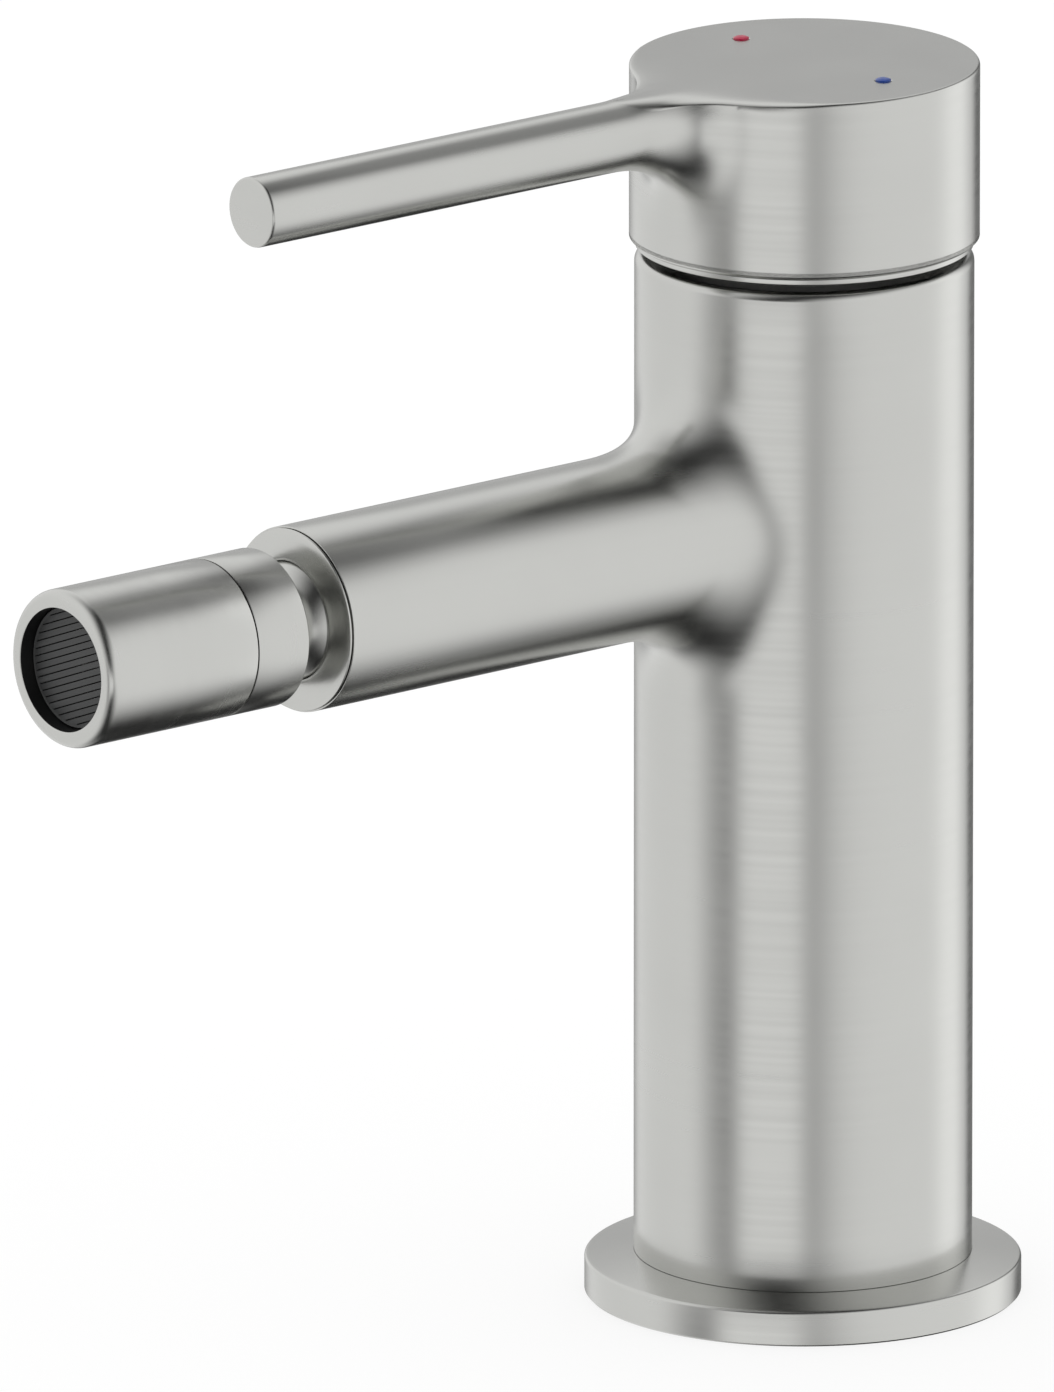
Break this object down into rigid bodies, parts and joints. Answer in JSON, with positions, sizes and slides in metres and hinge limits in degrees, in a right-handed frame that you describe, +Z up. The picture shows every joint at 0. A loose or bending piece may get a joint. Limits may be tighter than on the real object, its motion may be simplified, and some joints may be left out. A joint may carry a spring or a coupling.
{
  "type": "bidet mixer",
  "caption": "Single-lever deck-mounted bidet mixer: round column, straight spout with a ball-joint nozzle, flat cap with a thin horizontal lever.",
  "frame": {"origin": "centre of the base flange's underside: the centre of the tap hole, on the deck's surface", "axes": "+Z up along the column; the spout and the lever point along -Y; +X is the user's right (cold), -X is the user's left (hot)"},
  "size_m": [0.0582, 0.1566, 0.1688],
  "materials": {
    "brushed_nickel": "brushed nickel plating, satin",
    "dark_steel": "turned stainless steel",
    "raw_brass": "machined, unplated",
    "black_rubber": "moulded EPDM, matt",
    "white_plastic": "moulded acetal",
    "grey_plastic": "moulded polymer, dark grey",
    "ceramic": "lapped alumina",
    "hot_red": "glossy red inlay",
    "cold_blue": "glossy blue inlay"
  },
  "bodies": {
    "root": {"body": "brushed_nickel", "base_flange": "brushed_nickel", "base_seal": "black_rubber", "cartridge_housing": "grey_plastic", "cartridge_base": "white_plastic", "port_seals": "black_rubber", "fixed_disc": "ceramic", "retaining_nut": "raw_brass", "dome_ring": "dark_steel", "socket_ring": "brushed_nickel", "ball_seal": "black_rubber"},
    "swivel": {"lever_holder": "white_plastic", "rotor_seal": "black_rubber", "pivot_pin": "dark_steel"},
    "disc_slider": {"disc_carrier": "white_plastic", "moving_disc": "ceramic"},
    "lever": {"cartridge_stem": "dark_steel", "handle": "brushed_nickel", "grub_screw": "dark_steel", "screw_plug": "brushed_nickel", "hot_mark": "hot_red", "cold_mark": "cold_blue"},
    "nozzle_seat": {"ball_seat_ring": "white_plastic"},
    "nozzle": {"swivel_ball": "brushed_nickel", "sleeve_seal": "black_rubber", "aerator_housing": "brushed_nickel", "aerator_washer": "black_rubber", "aerator_body": "grey_plastic", "aerator_filter": "grey_plastic", "aerator_insert": "white_plastic", "aerator_screen": "grey_plastic"}
  },
  "joints": [
    {"name": "temperature_swivel", "type": "hinge", "parent": "root", "child": "swivel", "pos_m": [0, 0, 0.132], "axis": [0, 0, 1], "range_deg": [-45, 45]},
    {"name": "lever_lift", "type": "hinge", "parent": "swivel", "child": "lever", "pos_m": [0, 0, 0.132], "axis": [-1, 0, 0], "range_deg": [0, 25]},
    {"name": "disc_slide", "type": "slide", "parent": "swivel", "child": "disc_slider", "axis": [0, -1, 0], "range_m": [0, 0.0026]},
    {"name": "nozzle_roll", "type": "hinge", "parent": "root", "child": "nozzle_seat", "pos_m": [0, -0.0841, 0.1072], "axis": [0, -1, 0], "continuous": true},
    {"name": "nozzle_tilt", "type": "hinge", "parent": "nozzle_seat", "child": "nozzle", "pos_m": [0, -0.0841, 0.1072], "axis": [1, 0, 0], "range_deg": [-20, 20]}
  ],
  "couplings": [
    {"joint": "disc_slide", "follows": "lever_lift", "m_per_rad": 0.0057}
  ]
}
